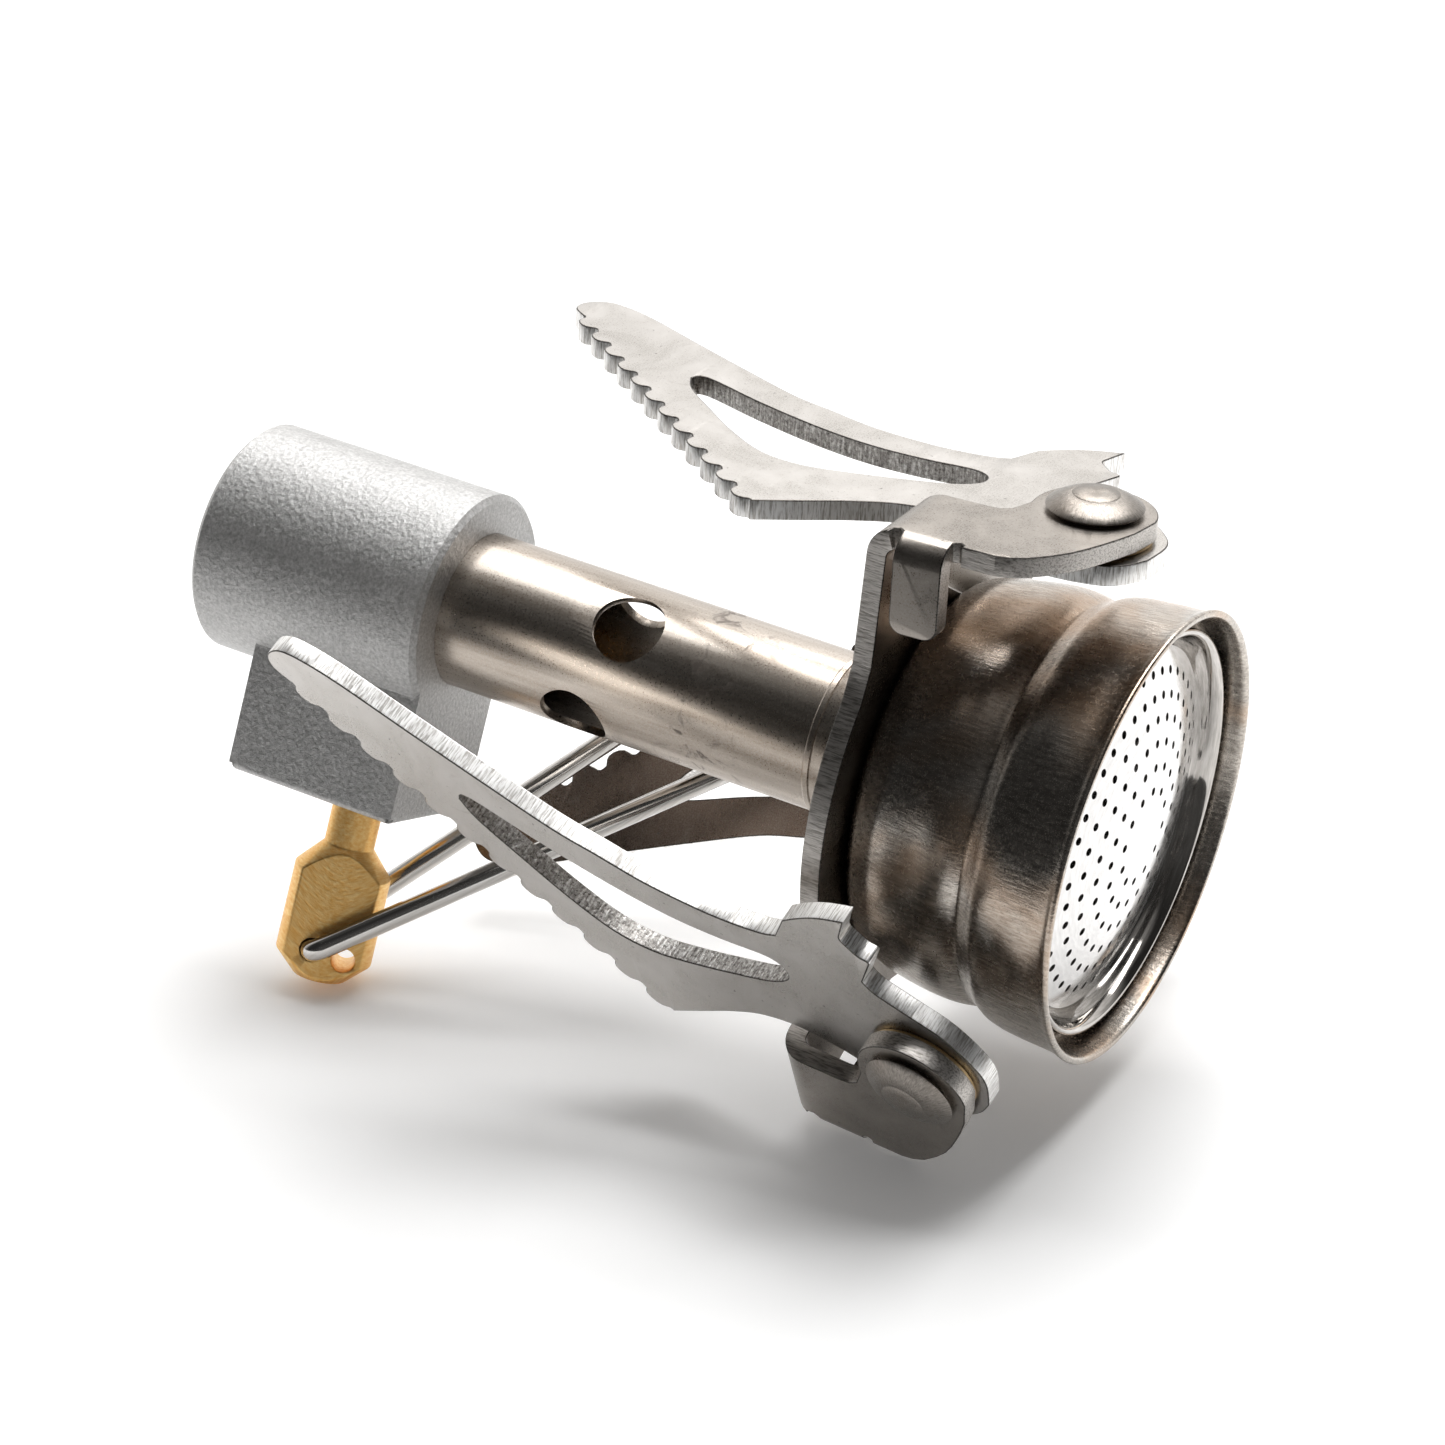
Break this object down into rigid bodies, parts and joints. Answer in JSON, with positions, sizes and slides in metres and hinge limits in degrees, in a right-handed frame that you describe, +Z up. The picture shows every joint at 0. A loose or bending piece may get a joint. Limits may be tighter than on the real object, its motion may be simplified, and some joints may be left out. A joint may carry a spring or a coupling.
{
  "type": "folding canister stove",
  "caption": "Small folding canister-top camping stove with a pressed burner cup, fold-down pot arms and a brass spindle valve with a wire handle.",
  "frame": {"origin": "centre of the mouth of the canister thread, on the flat bottom face of the valve body", "axes": "+Z up along the burner axis towards the flame, +X along the valve spindle towards the wire handle, +Y completes the right-handed set; the three arms are folded down beside the tube"},
  "size_m": [0.0487, 0.0455, 0.0659],
  "materials": {
    "blasted_alloy": "bead blasted, matt grey",
    "rubber": "black nitrile rubber",
    "turned_steel": "turned",
    "brass": "turned and milled brass, slightly orange",
    "tube_metal": "polished, faintly heat stained",
    "plate_metal": "stamped sheet, satin faces and sheared edges",
    "burner_metal": "spun sheet, brushed round, brown heat tints",
    "polished_ring": "mirror polished",
    "flame_metal": "mirror-bright pressed sheet",
    "rivet_steel": "satin",
    "washer_brass": "dull brass",
    "wire_steel": "bright drawn spring wire"
  },
  "bodies": {
    "stove_frame": {"valve_body": "blasted_alloy", "canister_o_ring": "rubber", "depressor_pin": "turned_steel", "jet": "brass", "mixing_tube": "tube_metal", "burner_neck": "tube_metal", "pot_bracket": "plate_metal", "burner_cup": "burner_metal", "flame_ring": "polished_ring", "flame_plate": "flame_metal", "rivet_1": "rivet_steel", "rivet_2": "rivet_steel", "rivet_3": "rivet_steel", "washer_1": "washer_brass", "washer_2": "washer_brass", "washer_3": "washer_brass", "spindle_gland": "brass"},
    "arm_body_1": {"arm_1": "plate_metal"},
    "arm_body_2": {"arm_2": "plate_metal"},
    "arm_body_3": {"arm_3": "plate_metal"},
    "spindle": {"valve_spindle": "brass", "spindle_o_ring": "rubber"},
    "handle": {"wire_handle": "wire_steel"}
  },
  "joints": [
    {"name": "arm_1_swing", "type": "hinge", "parent": "stove_frame", "child": "arm_body_1", "pos_m": [0.00268, 0.01908, 0.0597], "axis": [0.2195, 0.9739, -0.0584], "range_deg": [-225, 0]},
    {"name": "arm_2_swing", "type": "hinge", "parent": "stove_frame", "child": "arm_body_2", "pos_m": [-0.01786, -0.00722, 0.0597], "axis": [-0.9531, -0.2969, -0.0584], "range_deg": [-225, 0]},
    {"name": "arm_3_swing", "type": "hinge", "parent": "stove_frame", "child": "arm_body_3", "pos_m": [0.01518, -0.01186, 0.0597], "axis": [0.7337, -0.677, -0.0584], "range_deg": [-225, 0]},
    {"name": "spindle_turn", "type": "hinge", "parent": "stove_frame", "child": "spindle", "pos_m": [0.02, 0, 0.0122], "axis": [1, 0, 0], "range_deg": [-6, 6]},
    {"name": "handle_swing", "type": "hinge", "parent": "spindle", "child": "handle", "pos_m": [0.02505, -0.00037, 0.01147], "axis": [0, 0.891, -0.454], "range_deg": [-5, 220]}
  ]
}
